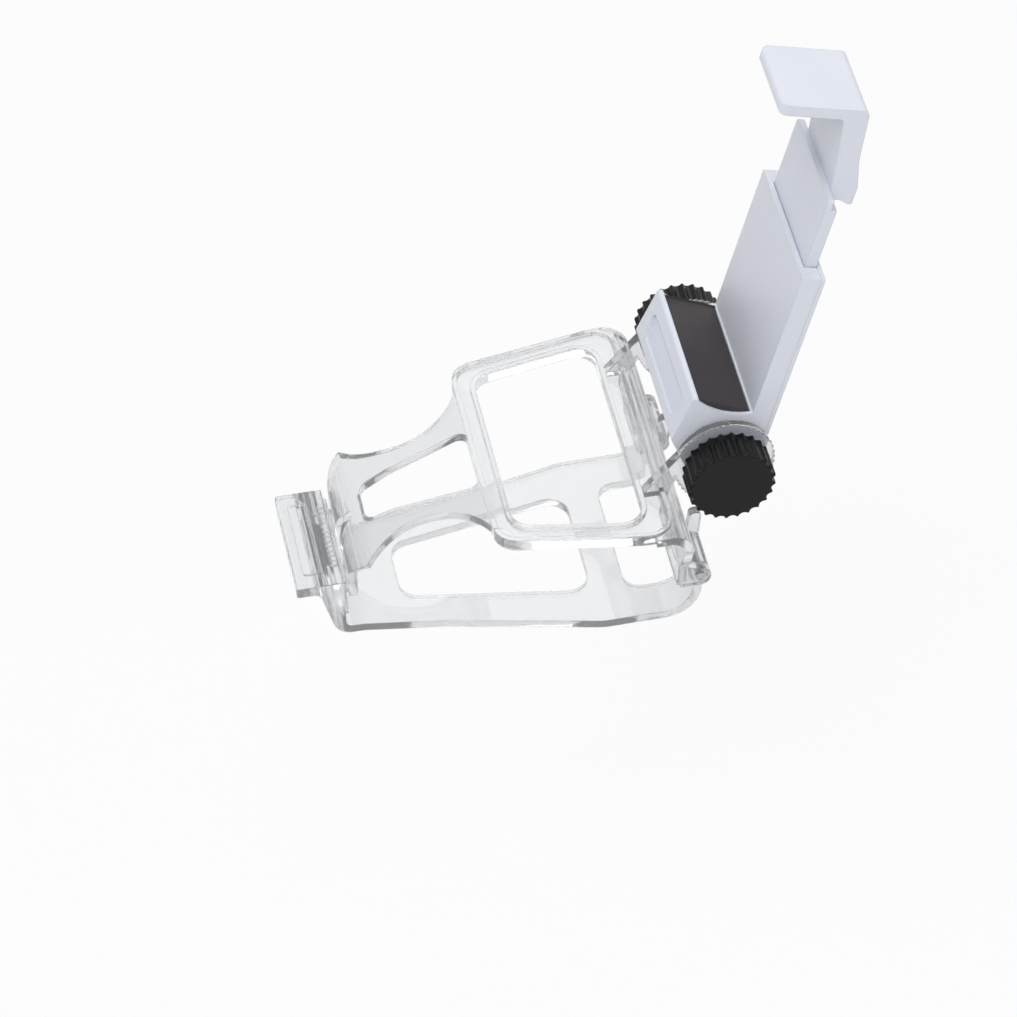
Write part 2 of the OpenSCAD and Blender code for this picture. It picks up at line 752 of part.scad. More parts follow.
module cover_screws() {
    color(steel_tint) in_holder() for (z = screw_z) both_sides() translate([screw_x, 0, z])
        small_screw(sleeve_back, screw_len + cover_t - 0.2);
}

// Pan-head screw with a cross recess, its head's top at y, running towards -Y
module small_screw(y, length) {
    translate([0, y, 0]) rotate([90, 0, 0]) difference() {
        union() {
            cylinder(d = screw_head_d, h = head_t, $fn = small_fn);
            cylinder(d = screw_d, h = length, $fn = small_fn);
        }
        for (a = [0, 90]) rotate([0, 0, a]) cube([screw_head_d * 0.6, 0.45, 0.7], center = true);
    }
}

module lower_pad() {
    color(rubber_tint) in_holder() intersection() {
        difference() {
            hollow_cut(pad_t, holder_w / 2 - pad_margin);
            hollow_cut(0, holder_w / 2);
        }
        along_x(-far, far) polygon([[pad_front, 0], [pad_rear, 0], [pad_rear, far / 2],
            [pad_front, far / 2]]);
    }
}

module tilt_bolt() {
    color(steel_tint) at_tilt() rod(bolt_d, -bolt_half, bolt_half);
}

// Fluted knob with a hex pocket for the nut, open towards the arm
module knob() {
    r = knob_d / 2;
    color(black_tint) at_tilt() difference() {
        translate([knob_in, 0, 0]) rotate([0, 90, 0]) rotate_extrude($fn = wide_fn)
            polygon([[0, 0], [r - knob_chamfer, 0], [r, knob_chamfer], [r, knob_len - knob_rim],
                [r - knob_rim, knob_len], [0, knob_len]]);
        for (i = [0 : flute_count - 1]) rotate([360 * i / flute_count, 0, 0])
            translate([0, r - flute_depth + flute_r, 0]) rod(2 * flute_r, knob_in - over, knob_out + over);
        rod(washer_d + 2 * slide_gap, knob_in - over, knob_in + washer_t);
        nut_shape(knob_in - over, knob_in + washer_t + nut_t, 0);
        rod(bolt_d + 2 * run_fit, knob_in, bolt_half + 0.4);
    }
}

module nut_shape(x0, x1, grow) {
    translate([x0, 0, 0]) rotate([0, 90, 0]) cylinder(d = nut_af / cos(30) + grow, h = x1 - x0, $fn = 6);
}

module knob_nut() {
    x0 = knob_in + washer_t;
    color(brass_tint) at_tilt() difference() {
        nut_shape(x0, x0 + nut_t, 0);
        rod(bolt_d + 2 * run_fit, x0 - over, x0 + nut_t + over);
    }
}

module washer() {
    color(steel_tint) at_tilt() difference() {
        rod(washer_d, knob_in, knob_in + washer_t);
        rod(bolt_d + 2 * run_fit, knob_in - over, knob_in + washer_t + over);
    }
}

module knob_right() {
    knob();
}

module knob_left() {
    mirror([1, 0, 0]) knob();
}

module knob_nut_right() {
    knob_nut();
}

module knob_nut_left() {
    mirror([1, 0, 0]) knob_nut();
}

module washer_right() {
    washer();
}

module washer_left() {
    mirror([1, 0, 0]) washer();
}

// Flat slider with stop shoulders at its lower end and a pocket for the leaf spring
module slider() {
    color(shell_tint) in_holder() difference() {
        union() {
            along_y(slider_y, slider_y + slider_t)
                polygon(rounded([[-slider_w / 2, slider_bottom, 0.6], [slider_w / 2, slider_bottom, 0.6],
                    [slider_w / 2, slider_top, 0.8], [-slider_w / 2, slider_top, 0.8]]));
            along_y(slider_y, slider_y + slider_t)
                polygon(rounded(tapered(shoulder_w, shoulder_w, slider_bottom, shoulder_top, 0.6)));
        }
        translate([-spring_w / 2 - slide_gap, slider_y + slider_t - spring_pocket,
            spring_z - spring_len / 2 - 0.6])
            cube([spring_w + 2 * slide_gap, far, spring_len + 1.2]);
        // Seat of the jaw's foot, behind the top edge
        translate([-slider_w / 2 - over, seat_y, seat_z]) cube([slider_w + 2 * over, far, far]);
        both_sides() translate([jaw_w / 4, slider_y + screw_skin, jaw_screw_z]) rotate([-90, 0, 0])
            cylinder(d = screw_d, h = far, $fn = small_fn);
    }
}

// Bowed strip between the slider and the back cover, which holds the slider by friction
module leaf_spring() {
    rise = spring_pocket + slide_gap - spring_t - 2 * spring_play;
    r = spring_len * spring_len / (8 * rise) + rise / 2;
    base = slider_y + slider_t - spring_pocket + spring_play;
    color(steel_tint) in_holder() intersection() {
        translate([0, base + spring_t + rise - r, spring_z]) difference() {
            rod(2 * r, -spring_w / 2, spring_w / 2);
            rod(2 * (r - spring_t), -spring_w, spring_w);
        }
        translate([-spring_w / 2, base, spring_z - spring_len / 2]) cube([spring_w, rise + 1, spring_len]);
    }
}

// Hooked top jaw: a plate over the phone on a leg that curves down behind the slider
module upper_jaw() {
    leg_in = sleeve_front + sink;
    back = leg_in + leg_t;
    profile = [[jaw_front, jaw_under, 0.9], [jaw_front, jaw_top, 1.2], [back, jaw_top, 1.6],
        [back + 1.6, foot_low + 13, 24], [foot_back, foot_low + 5.2, 1.2], [foot_back, foot_low, 0.6],
        [sleeve_back + 0.4, seat_z, 0], [seat_y, seat_z, 0], [seat_y, slider_top + 0.6, 0.6],
        [leg_in + 1.4, foot_low + 15, 18], [leg_in, jaw_under, 1]];
    top = tapered(jaw_w, jaw_w, jaw_front, foot_back + 6, 2.4);
    color(shell_tint) in_holder() difference() {
        intersection() {
            along_x(-jaw_w / 2, jaw_w / 2) polygon(rounded(profile));
            linear_extrude(2 * far) polygon(rounded(top));
        }
        // Seat of the upper pad
        translate([jaw_pad_side - jaw_w / 2, jaw_front + jaw_pad_front, jaw_under - over])
            cube([jaw_w - 2 * jaw_pad_side, jaw_reach - jaw_pad_front - jaw_pad_rear, over + pad_sink]);
        jaw_screw_holes();
    }
}

module jaw_screw_holes() {
    both_sides() translate([jaw_w / 4, 0, jaw_screw_z]) rotate([-90, 0, 0]) {
        cylinder(d = screw_d, h = far, $fn = small_fn);
        translate([0, 0, foot_back - head_t]) cylinder(d = screw_head_d + 0.2, h = far, $fn = small_fn);
    }
}

module jaw_screws() {
    color(steel_tint) in_holder() both_sides() translate([jaw_w / 4, 0, jaw_screw_z])
        small_screw(foot_back, foot_back - slider_y - screw_skin);
}

module upper_pad() {
    color(rubber_tint) in_holder() translate([jaw_pad_side - jaw_w / 2, jaw_front + jaw_pad_front,
        jaw_under - pad_t + pad_sink])
        cube([jaw_w - 2 * jaw_pad_side, jaw_reach - jaw_pad_front - jaw_pad_rear, pad_t]);
}

base_frame();
hinge_pin_right();
hinge_pin_left();
bottom_cradle();
holder_front();
holder_back();
lower_pad();
cover_screws();
tilt_bolt();
knob_right();
knob_left();
knob_nut_right();
knob_nut_left();
washer_right();
washer_left();
slider();
upper_jaw();
upper_pad();
jaw_screws();
leaf_spring();
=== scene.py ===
"""Looks of a clear clip that closes round a game controller and holds a phone.

Everything is in metres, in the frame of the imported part: the origin lies on the seat under the
clear frame's front bar, +X is the player's right, +Y points away from the player and +Z is up.
"""
from __future__ import annotations

import logging
import math
from dataclasses import dataclass, field
from enum import Enum

import bpy
import numpy as np
from mathutils import Matrix, Vector

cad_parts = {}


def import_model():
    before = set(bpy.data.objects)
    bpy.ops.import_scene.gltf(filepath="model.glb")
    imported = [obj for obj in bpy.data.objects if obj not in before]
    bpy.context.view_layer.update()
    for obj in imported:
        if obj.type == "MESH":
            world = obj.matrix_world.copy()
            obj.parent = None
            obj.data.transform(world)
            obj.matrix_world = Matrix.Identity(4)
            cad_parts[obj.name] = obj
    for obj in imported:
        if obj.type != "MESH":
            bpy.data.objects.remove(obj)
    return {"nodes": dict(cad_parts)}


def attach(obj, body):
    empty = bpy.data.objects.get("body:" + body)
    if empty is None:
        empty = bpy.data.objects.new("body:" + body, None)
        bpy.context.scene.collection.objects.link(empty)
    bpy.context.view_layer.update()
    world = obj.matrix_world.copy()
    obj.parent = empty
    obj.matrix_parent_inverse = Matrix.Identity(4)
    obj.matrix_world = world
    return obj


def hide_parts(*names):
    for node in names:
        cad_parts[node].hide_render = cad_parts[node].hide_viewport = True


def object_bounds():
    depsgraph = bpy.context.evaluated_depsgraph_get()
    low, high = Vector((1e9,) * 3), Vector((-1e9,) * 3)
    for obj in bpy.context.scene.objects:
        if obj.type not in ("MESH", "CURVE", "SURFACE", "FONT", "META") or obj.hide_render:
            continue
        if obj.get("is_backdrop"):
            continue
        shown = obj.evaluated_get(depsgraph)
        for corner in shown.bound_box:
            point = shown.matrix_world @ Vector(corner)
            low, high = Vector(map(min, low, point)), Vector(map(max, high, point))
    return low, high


LOG = logging.getLogger("phone_clip")
MM = 0.001
SHARP_ANGLE = math.radians(38)

# Numbers that every finish shares
GRAIN_SCALE = 2500.0
GRAIN_DETAIL = 3.0
BUMP_STRENGTH = 0.35
EDGE_SAMPLES = 6
MARKS_SCALE = 90.0
MARKS_DETAIL = 4.0
MARKS_FROM, MARKS_TO = 0.35, 0.65
MARKS_LOW, MARKS_HIGH = 0.3, 0.4
TINT_SCALE = 45.0
CLEAR_IOR = 1.49
CLEAR_SHADOW = (0.80, 0.81, 0.82, 1.0)


class Side(Enum):
    """Side of the clip, as the sign of X."""

    RIGHT = 1
    LEFT = -1

    @property
    def word(self) -> str:
        """The side's word in node and body names."""
        return self.name.lower()


class Body(Enum):
    """Moving bodies of the clip."""

    FRAME = "frame"
    CRADLE = "cradle"
    HOLDER = "holder"
    JAW = "jaw"
    RIGHT_KNOB = "right_knob"
    LEFT_KNOB = "left_knob"


def linear(shown: tuple[float, float, float]) -> tuple[float, float, float, float]:
    """Turn a shown colour into a linear one with full alpha.

    Args:
        shown: red, green and blue as they look on a screen, 0 to 1.

    Returns:
        The same colour, linear, with alpha 1.
    """
    lin = [c / 12.92 if c <= 0.04045 else ((c + 0.055) / 1.055) ** 2.4 for c in shown]
    return (lin[0], lin[1], lin[2], 1.0)


# Shared effects, each built once as a group of shader nodes


def group_tree(name: str, inputs: dict[str, float], outputs: tuple[str, ...]) -> tuple:
    """Start a shader node group with float inputs and outputs.

    Args:
        name: the group's name.
        inputs: names of the inputs and their first values.
        outputs: names of the outputs.

    Returns:
        The tree, its input node and its output node.
    """
    tree = bpy.data.node_groups.new(name, "ShaderNodeTree")
    for label, value in inputs.items():
        socket = tree.interface.new_socket(label, in_out="INPUT", socket_type="NodeSocketFloat")
        socket.default_value = value
    for label in outputs:
        tree.interface.new_socket(label, in_out="OUTPUT", socket_type="NodeSocketFloat")
    return tree, tree.nodes.new("NodeGroupInput"), tree.nodes.new("NodeGroupOutput")


def make_grain_group() -> bpy.types.NodeTree:
    """Build the moulded grain: fine noise as a height, in object coordinates.

    Returns:
        The group, with inputs Scale and Depth and output Height.
    """
    tree, given, out = group_tree("moulded_grain", {"Scale": GRAIN_SCALE, "Depth": 1.0}, ("Height",))
    coords = tree.nodes.new("ShaderNodeTexCoord")
    noise = tree.nodes.new("ShaderNodeTexNoise")
    noise.inputs["Detail"].default_value = GRAIN_DETAIL
    depth = tree.nodes.new("ShaderNodeMath")
    depth.operation = "MULTIPLY"
    tree.links.new(coords.outputs["Object"], noise.inputs["Vector"])
    tree.links.new(given.outputs["Scale"], noise.inputs["Scale"])
    tree.links.new(noise.outputs["Fac"], depth.inputs[0])
    tree.links.new(given.outputs["Depth"], depth.inputs[1])
    tree.links.new(depth.outputs[0], out.inputs["Height"])
    return tree


def make_handling_group() -> bpy.types.NodeTree:
    """Build the handling marks: slow noise that moves the roughness between two values.

    Returns:
        The group, with inputs Scale, Low and High and output Roughness.
    """
    first_values = {"Scale": MARKS_SCALE, "Low": MARKS_LOW, "High": MARKS_HIGH}
    tree, given, out = group_tree("handling_marks", first_values, ("Roughness",))
    coords = tree.nodes.new("ShaderNodeTexCoord")
    noise = tree.nodes.new("ShaderNodeTexNoise")
    noise.inputs["Detail"].default_value = MARKS_DETAIL
    spread = tree.nodes.new("ShaderNodeMapRange")
    spread.inputs["From Min"].default_value = MARKS_FROM
    spread.inputs["From Max"].default_value = MARKS_TO
    tree.links.new(coords.outputs["Object"], noise.inputs["Vector"])
    tree.links.new(given.outputs["Scale"], noise.inputs["Scale"])
    tree.links.new(noise.outputs["Fac"], spread.inputs["Value"])
    tree.links.new(given.outputs["Low"], spread.inputs["To Min"])
    tree.links.new(given.outputs["High"], spread.inputs["To Max"])
    tree.links.new(spread.outputs["Result"], out.inputs["Roughness"])
    return tree


@dataclass(frozen=True)
class Finish:
    """A surface finish: its colour and the scale and depth of its effects.

    Shown and tint_to are screen colours, rough is the least and the most roughness, grain_depth and
    edge_r are in millimetres, and through is the share of light that passes.
    """

    name: str
    shown: tuple[float, float, float]
    rough: tuple[float, float]
    grain_scale: float = GRAIN_SCALE
    grain_depth: float = 0.02
    edge_r: float = 0.25
    tint_to: tuple[float, float, float] = (1.0, 1.0, 1.0)
    metallic: float = 0.0
    through: float = 0.0
    gloss: float = 0.5

    def build(self, grain: bpy.types.NodeTree, marks: bpy.types.NodeTree) -> bpy.types.Material:
        """Make the material from the shared groups.

        Args:
            grain: the moulded grain group.
            marks: the handling marks group.

        Returns:
            The finished material.
        """
        mat = bpy.data.materials.new(self.name)
        mat.use_nodes = True
        nodes, links = mat.node_tree.nodes, mat.node_tree.links
        shader = nodes["Principled BSDF"]
        shader.inputs["Base Color"].default_value = linear(self.shown)
        shader.inputs["Metallic"].default_value = self.metallic
        shader.inputs["Specular IOR Level"].default_value = self.gloss
        wear = nodes.new("ShaderNodeGroup")
        wear.node_tree = marks
        wear.inputs["Low"].default_value, wear.inputs["High"].default_value = self.rough
        links.new(wear.outputs["Roughness"], shader.inputs["Roughness"])
        texture = nodes.new("ShaderNodeGroup")
        texture.node_tree = grain
        texture.inputs["Scale"].default_value = self.grain_scale
        bump = nodes.new("ShaderNodeBump")
        bump.inputs["Strength"].default_value = BUMP_STRENGTH
        bump.inputs["Distance"].default_value = self.grain_depth * MM
        soft = nodes.new("ShaderNodeBevel")
        soft.samples = EDGE_SAMPLES
        soft.inputs["Radius"].default_value = self.edge_r * MM
        links.new(soft.outputs["Normal"], bump.inputs["Normal"])
        links.new(texture.outputs["Height"], bump.inputs["Height"])
        links.new(bump.outputs["Normal"], shader.inputs["Normal"])
        self.add_tint(mat, shader)
        if self.through > 0:
            self.make_clear(mat, shader)
        return mat

    def add_tint(self, mat: bpy.types.Material, shader: bpy.types.Node) -> None:
        """Let the colour drift slowly between the finish's two tints.

        Args:
            mat: the material.
            shader: its Principled BSDF.
        """
        nodes, links = mat.node_tree.nodes, mat.node_tree.links
        coords = nodes.new("ShaderNodeTexCoord")
        noise = nodes.new("ShaderNodeTexNoise")
        noise.inputs["Scale"].default_value = TINT_SCALE
        mix = nodes.new("ShaderNodeMix")
        mix.data_type = "RGBA"
        mix.inputs["A"].default_value = linear(self.shown)
        mix.inputs["B"].default_value = linear(self.tint_to)
        links.new(coords.outputs["Object"], noise.inputs["Vector"])
        links.new(noise.outputs["Fac"], mix.inputs["Factor"])
        links.new(mix.outputs["Result"], shader.inputs["Base Color"])

    def make_clear(self, mat: bpy.types.Material, shader: bpy.types.Node) -> None:
        """Let most of the light through, and keep the shadow light, as clear plastic does.

        Args:
            mat: the material.
            shader: its Principled BSDF.
        """
        nodes, links = mat.node_tree.nodes, mat.node_tree.links
        shader.inputs["Transmission Weight"].default_value = self.through
        shader.inputs["IOR"].default_value = CLEAR_IOR
        path = nodes.new("ShaderNodeLightPath")
        through = nodes.new("ShaderNodeBsdfTransparent")
        through.inputs["Color"].default_value = CLEAR_SHADOW
        mix = nodes.new("ShaderNodeMixShader")
        links.new(path.outputs["Is Shadow Ray"], mix.inputs["Fac"])
        links.new(shader.outputs["BSDF"], mix.inputs[1])
        links.new(through.outputs["BSDF"], mix.inputs[2])
        links.new(mix.outputs["Shader"], nodes["Material Output"].inputs["Surface"])


CLEAR = Finish("clear_polycarbonate", (0.89, 0.895, 0.90), (0.02, 0.05), 1800.0, 0.003, 0.5,
               tint_to=(0.905, 0.91, 0.915), through=0.9)
SHELL = Finish("pale_shell", (0.875, 0.885, 0.92), (0.34, 0.44), 2600.0, 0.012, 0.35,
               tint_to=(0.88, 0.89, 0.925))
KNOB = Finish("black_knob", (0.03, 0.03, 0.033), (0.22, 0.30), 3200.0, 0.015, 0.2,
              tint_to=(0.04, 0.04, 0.044), gloss=0.2)
RUBBER = Finish("pad_rubber", (0.235, 0.22, 0.225), (0.46, 0.60), 3000.0, 0.03, 0.15,
                tint_to=(0.215, 0.20, 0.205), gloss=0.35)
STEEL = Finish("zinc_steel", (0.74, 0.75, 0.77), (0.24, 0.36), 1500.0, 0.006, 0.1,
               tint_to=(0.70, 0.71, 0.73), metallic=1.0)
BRASS = Finish("turned_brass", (0.80, 0.65, 0.38), (0.26, 0.38), 1500.0, 0.006, 0.1,
               tint_to=(0.76, 0.61, 0.35), metallic=1.0)


@dataclass
class Finishes:
    """Every finish of the clip, made once."""

    made: dict[str, bpy.types.Material] = field(default_factory=dict)

    def __post_init__(self) -> None:
        """Build the shared groups and each finish's material."""
        grain, marks = make_grain_group(), make_handling_group()
        for finish in (CLEAR, SHELL, KNOB, RUBBER, STEEL, BRASS):
            self.made[finish.name] = finish.build(grain, marks)

    def of(self, finish: Finish) -> bpy.types.Material:
        """The material of a finish."""
        return self.made[finish.name]

    def dress(self, nodes: dict[str, bpy.types.Object], finish: Finish, *names: str) -> None:
        """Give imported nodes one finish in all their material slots.

        Args:
            nodes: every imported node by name.
            finish: the finish.
            names: the nodes that get it.
        """
        for name in names:
            for place in nodes[name].material_slots:
                place.material = self.of(finish)


# Surfaces from whole arrays


def grid_faces(rows: int, cols: int, wrap_cols: bool) -> np.ndarray:
    """Number the four corners of each cell of a grid.

    Args:
        rows: number of rows of points.
        cols: number of points in a row.
        wrap_cols: join each row's last point to its first.

    Returns:
        Corner numbers, one row of four for each cell.
    """
    across = cols if wrap_cols else cols - 1
    r, c = np.meshgrid(np.arange(rows - 1), np.arange(across), indexing="ij")
    near, far = c, (c + 1) % cols
    corners = [r * cols + near, r * cols + far, (r + 1) * cols + far, (r + 1) * cols + near]
    return np.stack(corners, -1).reshape(-1, 4)


def make_piece(name: str, points: np.ndarray, faces: list[list[int]],
               finish: bpy.types.Material) -> bpy.types.Object:
    """Make a smooth mesh object at the origin.

    Args:
        name: the piece's name.
        points: places in metres, one row for each.
        faces: corner numbers of each face.
        finish: its material.

    Returns:
        The object, linked to the scene.
    """
    mesh = bpy.data.meshes.new(name)
    mesh.from_pydata(points.tolist(), [], faces)
    mesh.validate()
    mesh.materials.append(finish)
    mesh.polygons.foreach_set("use_smooth", np.ones(len(mesh.polygons), bool))
    mesh.update()
    obj = bpy.data.objects.new(name, mesh)
    bpy.context.scene.collection.objects.link(obj)
    return obj


def closed_ring_piece(name: str, rings: np.ndarray, finish: bpy.types.Material) -> bpy.types.Object:
    """Join closed rings of points into one skin and close both ends on their middle points.

    The surface is point(u, v) = ring u at v, with v running once round.

    Args:
        name: the piece's name.
        rings: places in metres, as ring, point and coordinate.
        finish: its material.

    Returns:
        The closed object.
    """
    rows, cols = rings.shape[:2]
    points = np.concatenate([rings.reshape(-1, 3), rings[:1].mean(1), rings[-1:].mean(1)])
    here = np.arange(cols)
    following = (here + 1) % cols
    last_ring = (rows - 1) * cols
    first_middle = np.full(cols, rows * cols)
    first_end = np.stack([first_middle, following, here], -1)
    last_end = np.stack([first_middle + 1, last_ring + here, last_ring + following], -1)
    faces = grid_faces(rows, cols, True).tolist() + first_end.tolist() + last_end.tolist()
    obj = make_piece(name, points, faces, finish)
    obj.data.set_sharp_from_angle(angle=SHARP_ANGLE)
    face_outwards(obj.data)
    return obj


def face_outwards(mesh: bpy.types.Mesh) -> None:
    """Turn a closed mesh's faces outwards, by the sign of the volume that they enclose.

    The volume of triangles (a, b, c) is the sum of a . (b x c) over six.

    Args:
        mesh: the closed mesh.
    """
    mesh.calc_loop_triangles()
    co = np.empty(len(mesh.vertices) * 3)
    mesh.vertices.foreach_get("co", co)
    tri = np.empty(len(mesh.loop_triangles) * 3, int)
    mesh.loop_triangles.foreach_get("vertices", tri)
    a, b, c = (co.reshape(-1, 3)[tri.reshape(-1, 3)[:, i]] for i in range(3))
    if np.einsum("ij,ij->i", a, np.cross(b, c)).sum() < 0:
        mesh.flip_normals()


@dataclass
class ClearClip:
    """Clear frame round the touchpad, the cradle hinged to it and the hinge pins. Sizes in millimetres."""

    hinge_y: float = 46.4
    hinge_z: float = -18.4
    open_deg: float = 75.0
    mouldings: tuple[str, ...] = ("base_frame", "bottom_cradle")
    pins: tuple[str, ...] = ("hinge_pin_right", "hinge_pin_left")

    def build(self, nodes: dict[str, bpy.types.Object], finishes: Finishes) -> None:
        """Dress the two clear mouldings and the steel pins.

        Args:
            nodes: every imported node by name.
            finishes: the clip's finishes.
        """
        finishes.dress(nodes, CLEAR, *self.mouldings)
        finishes.dress(nodes, STEEL, *self.pins)

    def lowest_when_open(self, cradle: bpy.types.Object) -> float:
        """Height of the cradle's lowest point when it hangs open.

        A place (y, z) from the hinge comes to the height y sin a + z cos a.

        Args:
            cradle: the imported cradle.

        Returns:
            The height in metres.
        """
        places = np.empty(len(cradle.data.vertices) * 3)
        cradle.data.vertices.foreach_get("co", places)
        from_hinge = places.reshape(-1, 3) - np.array([0.0, self.hinge_y, self.hinge_z]) * MM
        a = math.radians(self.open_deg)
        return self.hinge_z * MM + float((from_hinge @ np.array([0.0, math.sin(a), math.cos(a)])).min())


@dataclass
class Holder:
    """Leaning phone holder: lower jaw, sleeve, cover and rubber pad. Sizes in millimetres."""

    lean: float = 15.6
    tilt_y: float = 53.9
    tilt_z: float = 8.9
    hollow_r: float = 16.6
    hollow_y: float = -0.6
    hollow_rear: float = 13.4
    sleeve_front: float = 3.6
    pad_rear: float = 3.5
    pad_front: float = -10.4
    pad_half: float = 18.2
    pad_t: float = 1.2
    edge: float = 0.3
    corner_points: int = 12
    edge_points: int = 6

    def build(self, nodes: dict[str, bpy.types.Object], finishes: Finishes) -> bpy.types.Object:
        """Dress the shells, screws and bolt, and make the pad.

        Args:
            nodes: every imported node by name.
            finishes: the clip's finishes.

        Returns:
            The pad.
        """
        finishes.dress(nodes, SHELL, "holder_front", "holder_back")
        finishes.dress(nodes, STEEL, "cover_screws", "tilt_bolt")
        finishes.dress(nodes, RUBBER, "lower_pad")
        return self.make_pad(finishes.of(RUBBER))

    def placed(self, local: np.ndarray) -> np.ndarray:
        """Turn places of the upright holder into places on the clip.

        The lean turns (y, z) about the tilt axis: y' = y cos a + z sin a, z' = z cos a - y sin a.

        Args:
            local: places in millimetres from the tilt axis, holder upright.

        Returns:
            Places in metres in the part's frame.
        """
        a = math.radians(self.lean)
        x, y, z = np.moveaxis(local, -1, 0)
        return np.stack([x, self.tilt_y + y * math.cos(a) + z * math.sin(a),
                         self.tilt_z - y * math.sin(a) + z * math.cos(a)], -1) * MM

    def make_pad(self, finish: bpy.types.Material) -> bpy.types.Object:
        """Make the dark strip that lines the hollow of the lower jaw.

        Each section across X is a rounded rectangle bent round the hollow. Its share of the arc, -1
        to 1, is laid between the pad's two ends, which are upright planes: at radius r an end at y
        stands at the angle asin((y - hollow_y) / r).

        Args:
            finish: rubber.

        Returns:
            The pad, riding on the holder.
        """
        middle_z = self.hollow_rear + math.sqrt(self.hollow_r ** 2 - (self.sleeve_front - self.hollow_y) ** 2)
        half_arc = (self.pad_rear - self.pad_front) / 2
        turn, depth = rounded_ring(half_arc, self.pad_t / 2, self.edge, self.corner_points)
        quarter = np.linspace(0, math.pi / 2, self.edge_points)
        ends = self.pad_half - self.edge * (1 - np.sin(quarter))
        xs = np.concatenate([-ends[::-1], ends])
        drawn = self.edge * (1 - np.cos(quarter))[::-1]
        inset = np.concatenate([drawn[::-1], drawn])
        share = turn[None, :] / half_arc * (1 - inset[:, None] / half_arc)
        r = self.hollow_r + self.pad_t / 2 + depth[None, :] * (1 - 2 * inset[:, None] / self.pad_t)
        front = np.arcsin((self.pad_front - self.hollow_y) / r)
        rear = np.arcsin((self.pad_rear - self.hollow_y) / r)
        angle = (front + rear) / 2 + share * (rear - front) / 2
        local = np.stack([np.broadcast_to(xs[:, None], r.shape), self.hollow_y + r * np.sin(angle),
                          middle_z - r * np.cos(angle)], -1)
        pad = closed_ring_piece("lower_pad_strip", self.placed(local), finish)
        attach(pad, Body.HOLDER.value)
        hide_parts("lower_pad")
        return pad


def rounded_ring(half_w: float, half_t: float, r: float, per_corner: int) -> tuple[np.ndarray, np.ndarray]:
    """Points of a rounded rectangle, once round.

    Each corner is a quarter circle of radius r about (half_w - r, half_t - r) and its mirrors.

    Args:
        half_w: half the width.
        half_t: half the thickness.
        r: corner radius.
        per_corner: points in each corner.

    Returns:
        The two coordinates of the points.
    """
    a = np.linspace(0, math.pi / 2, per_corner)
    turn = np.concatenate([a + k * math.pi / 2 for k in range(4)])
    cx = np.repeat([1, -1, -1, 1], per_corner) * (half_w - r)
    cy = np.repeat([1, 1, -1, -1], per_corner) * (half_t - r)
    return cx + r * np.cos(turn), cy + r * np.sin(turn)


